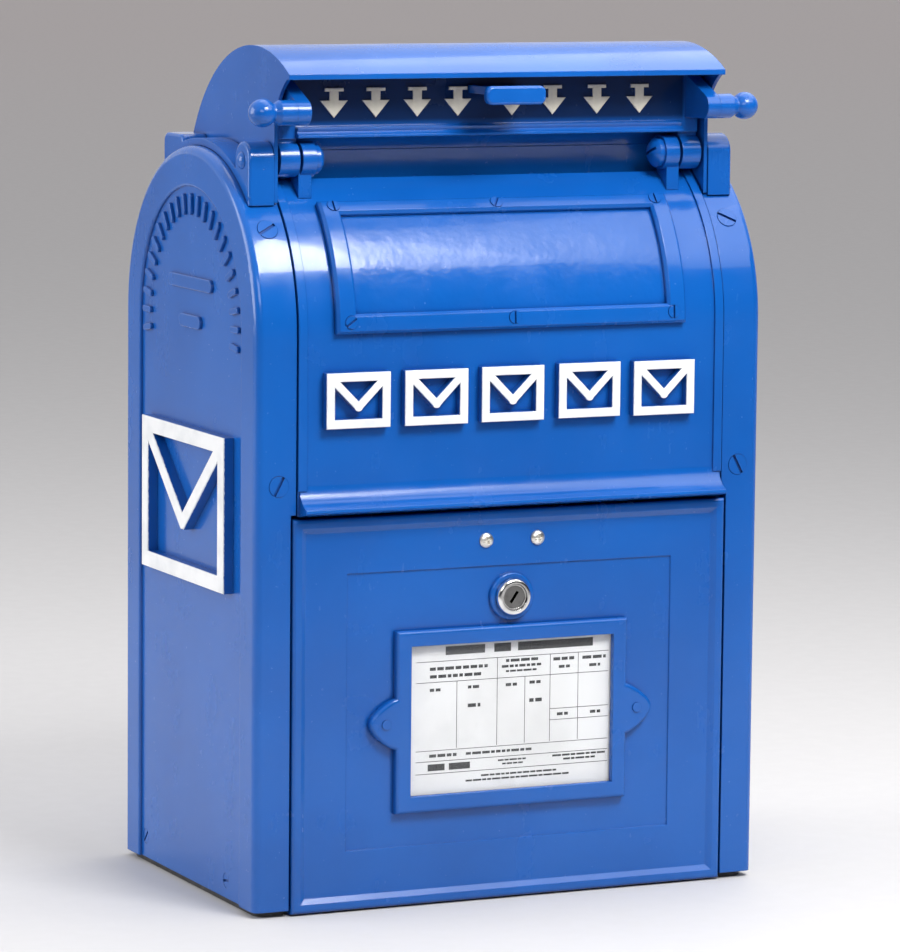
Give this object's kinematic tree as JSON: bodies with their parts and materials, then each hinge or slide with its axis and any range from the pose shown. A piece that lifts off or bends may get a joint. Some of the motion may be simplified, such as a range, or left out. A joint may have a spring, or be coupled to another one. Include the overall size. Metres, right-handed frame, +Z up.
{
  "type": "mailbox",
  "caption": "arch-topped cast letter box with a hooded pull-down flap, a bottom-hinged collection door and a cam lock",
  "frame": {"origin": "middle of the base plate's underside, at mid-depth of the side castings", "axes": "+Z up, the front with the flap and the door faces -Y, +X to the right of someone facing the front"},
  "size_m": [0.3588, 0.2384, 0.5504],
  "materials": {
    "blue": "thick gloss enamel over castings",
    "blue_hardware": "painted over with the same enamel",
    "label_plate": "gloss enamel",
    "black_base": "satin black paint",
    "galvanised": "zinc plated sheet",
    "bolt_bar": "milled bar, bare",
    "zinc_fixings": "zinc plated fixings",
    "chrome": "bright chrome plate",
    "brass": "plain brass",
    "card": "printed card",
    "window": "clear sheet"
  },
  "bodies": {
    "box": {"left_side_casting": "blue", "right_side_casting": "blue", "front_shell": "blue", "back_shell": "blue", "hood": "blue", "left_lug_bracket": "blue", "right_lug_bracket": "blue", "hinge_posts": "blue", "label_frame": "blue", "flange_screws": "blue_hardware", "label_screws": "blue_hardware", "hood_screws": "blue_hardware", "pivot_screws": "blue_hardware", "side_screws": "blue_hardware", "label_plate": "label_plate", "base_plate": "black_base", "hinge_leaf": "galvanised", "hinge_pin": "galvanised", "bracket_screws": "zinc_fixings", "leaf_screws": "zinc_fixings"},
    "flap": {"pull_down_flap": "blue", "ball_horns": "blue", "finger_tab": "blue", "flap_baffle": "blue", "baffle_rivets": "blue_hardware", "counterweight": "galvanised"},
    "door": {"collection_door": "blue", "lock_barrel": "chrome", "lock_nut": "brass", "latch_guide": "galvanised", "latch_screws": "chrome", "latch_nuts": "zinc_fixings", "card_frame": "blue", "card_rivets": "blue_hardware", "card": "card", "card_window": "window"},
    "plug": {"lock_plug": "chrome", "lock_cam": "brass"},
    "bolt": {"slide_bolt": "bolt_bar"}
  },
  "joints": [
    {"name": "flap_hinge", "type": "hinge", "parent": "box", "child": "flap", "pos_m": [0, -0.07, 0.479], "axis": [1, 0, 0], "range_deg": [0, 82]},
    {"name": "door_hinge", "type": "hinge", "parent": "box", "child": "door", "pos_m": [0, -0.1106, 0.0056], "axis": [1, 0, 0], "range_deg": [0, 85]},
    {"name": "lock_turn", "type": "hinge", "parent": "door", "child": "plug", "pos_m": [0, -0.11, 0.1977], "axis": [0, -1, 0], "range_deg": [0, 90]},
    {"name": "bolt_slide", "type": "slide", "parent": "door", "child": "bolt", "axis": [0, 0, 1], "range_m": [0, 0.0114]}
  ],
  "couplings": [
    {"joint": "bolt_slide", "follows": "lock_turn", "m_per_rad": 0.0072}
  ]
}
